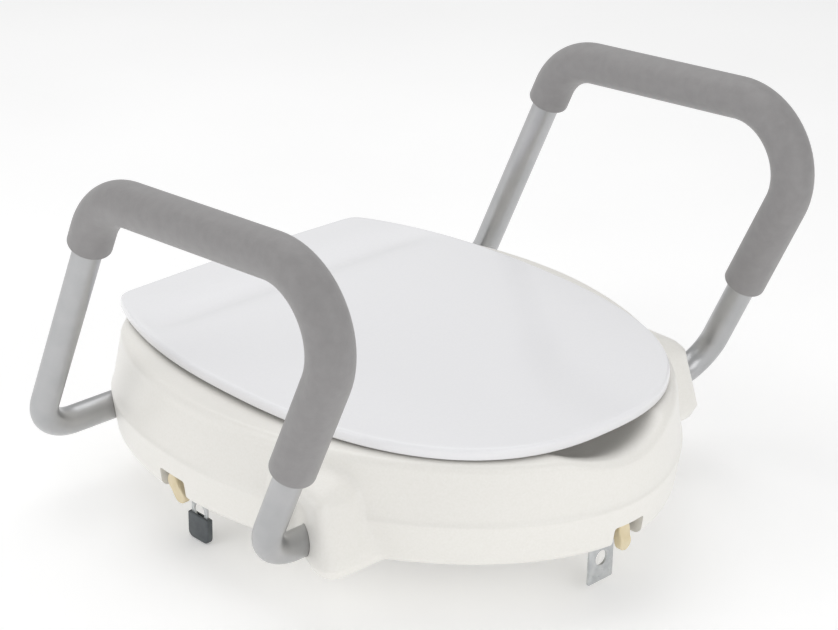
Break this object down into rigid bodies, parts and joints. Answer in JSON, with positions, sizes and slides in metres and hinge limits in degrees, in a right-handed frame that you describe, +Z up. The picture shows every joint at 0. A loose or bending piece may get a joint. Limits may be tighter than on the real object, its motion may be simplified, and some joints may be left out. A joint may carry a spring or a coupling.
{
  "type": "raised toilet seat with armrests",
  "caption": "Raised toilet seat with a hinged lid, padded armrests that plug into its sides and screw clamps that hold it on the bowl.",
  "frame": {"origin": "on the flat underside that rests on the bowl's rim, midway between the four armrest legs", "axes": "+Z up, -Y to the front, +X to the sitter's left"},
  "size_m": [0.576, 0.5075, 0.3636],
  "materials": {
    "body_plastic": "warm white, glossy, blow-moulded",
    "lid_plastic": "cool white, glossy",
    "tube_aluminium": "satin anodised",
    "grip_foam": "matt grey closed-cell foam",
    "knob_nylon": "cream nylon",
    "black_plastic": "black plastic",
    "bracket_steel": "zinc-plated sheet steel",
    "zinc_steel": "zinc-plated steel",
    "spring_steel": "bright spring steel",
    "boot_rubber": "dark grey rubber",
    "bumper_rubber": "white rubber"
  },
  "bodies": {
    "seat": {"seat_body": "body_plastic", "hinge_post_left": "lid_plastic", "hinge_post_right": "lid_plastic", "hinge_pin_left": "zinc_steel", "hinge_pin_right": "zinc_steel", "hinge_screws": "zinc_steel", "arm_tube_left": "tube_aluminium", "arm_tube_right": "tube_aluminium", "arm_grip_left": "grip_foam", "arm_grip_right": "grip_foam", "clamp_fixing_screws": "zinc_steel", "leg_plug_front_left": "black_plastic", "leg_plug_rear_left": "black_plastic", "leg_plug_front_right": "black_plastic", "leg_plug_rear_right": "black_plastic", "leg_spring_front_left": "spring_steel", "leg_spring_rear_left": "spring_steel", "leg_spring_front_right": "spring_steel", "leg_spring_rear_right": "spring_steel", "clamp_bearing_front": "black_plastic", "clamp_bearing_left": "black_plastic", "clamp_bearing_right": "black_plastic"},
    "lid": {"lid": "lid_plastic", "lid_bumper_front_left": "bumper_rubber", "lid_bumper_rear_left": "bumper_rubber", "lid_bumper_front_right": "bumper_rubber", "lid_bumper_rear_right": "bumper_rubber"},
    "button_front_left": {"leg_button_front_left": "zinc_steel"},
    "button_rear_left": {"leg_button_rear_left": "zinc_steel"},
    "button_front_right": {"leg_button_front_right": "zinc_steel"},
    "button_rear_right": {"leg_button_rear_right": "zinc_steel"},
    "knob_front": {"clamp_knob_front": "knob_nylon", "clamp_screw_front": "zinc_steel", "clamp_collar_front": "zinc_steel"},
    "bracket_front": {"clamp_bracket_front": "bracket_steel", "clamp_nut_front": "knob_nylon"},
    "knob_left": {"clamp_knob_left": "knob_nylon", "clamp_screw_left": "zinc_steel", "clamp_collar_left": "zinc_steel"},
    "bracket_left": {"clamp_bracket_left": "bracket_steel", "clamp_nut_left": "knob_nylon", "clamp_boot_left": "boot_rubber"},
    "knob_right": {"clamp_knob_right": "knob_nylon", "clamp_screw_right": "zinc_steel", "clamp_collar_right": "zinc_steel"},
    "bracket_right": {"clamp_bracket_right": "bracket_steel", "clamp_nut_right": "knob_nylon", "clamp_boot_right": "boot_rubber"}
  },
  "joints": [
    {"name": "lid_hinge", "type": "hinge", "parent": "seat", "child": "lid", "pos_m": [0, 0.1955, 0.0915], "axis": [-1, 0, 0], "range_deg": [0, 105]},
    {"name": "button_push_front_left", "type": "slide", "parent": "seat", "child": "button_front_left", "axis": [0, 0, 1], "range_m": [0, 0.005], "stiffness_N_per_m": 800, "springref_m": -0.003, "deforming": ["leg_spring_front_left"]},
    {"name": "button_push_rear_left", "type": "slide", "parent": "seat", "child": "button_rear_left", "axis": [0, 0, 1], "range_m": [0, 0.005], "stiffness_N_per_m": 800, "springref_m": -0.003, "deforming": ["leg_spring_rear_left"]},
    {"name": "button_push_front_right", "type": "slide", "parent": "seat", "child": "button_front_right", "axis": [0, 0, 1], "range_m": [0, 0.005], "stiffness_N_per_m": 800, "springref_m": -0.003, "deforming": ["leg_spring_front_right"]},
    {"name": "button_push_rear_right", "type": "slide", "parent": "seat", "child": "button_rear_right", "axis": [0, 0, 1], "range_m": [0, 0.005], "stiffness_N_per_m": 800, "springref_m": -0.003, "deforming": ["leg_spring_rear_right"]},
    {"name": "knob_turn_front", "type": "hinge", "parent": "seat", "child": "knob_front", "pos_m": [0, -0.301, 0.005], "axis": [0, 1, 0], "range_deg": [0, 1800]},
    {"name": "bracket_slide_front", "type": "slide", "parent": "seat", "child": "bracket_front", "axis": [0, 1, 0], "range_m": [0, 0.0152]},
    {"name": "knob_turn_left", "type": "hinge", "parent": "seat", "child": "knob_left", "pos_m": [0.227, 0.012, 0.005], "axis": [-1, 0, 0], "range_deg": [0, 1800]},
    {"name": "bracket_slide_left", "type": "slide", "parent": "seat", "child": "bracket_left", "axis": [-1, 0, 0], "range_m": [0, 0.0152]},
    {"name": "knob_turn_right", "type": "hinge", "parent": "seat", "child": "knob_right", "pos_m": [-0.227, 0.012, 0.005], "axis": [1, 0, 0], "range_deg": [0, 1800]},
    {"name": "bracket_slide_right", "type": "slide", "parent": "seat", "child": "bracket_right", "axis": [1, 0, 0], "range_m": [0, 0.0152]}
  ],
  "couplings": [
    {"joint": "bracket_slide_front", "follows": "knob_turn_front", "m_per_rad": 0.00047746},
    {"joint": "bracket_slide_left", "follows": "knob_turn_left", "m_per_rad": 0.00047746},
    {"joint": "bracket_slide_right", "follows": "knob_turn_right", "m_per_rad": 0.00047746}
  ]
}
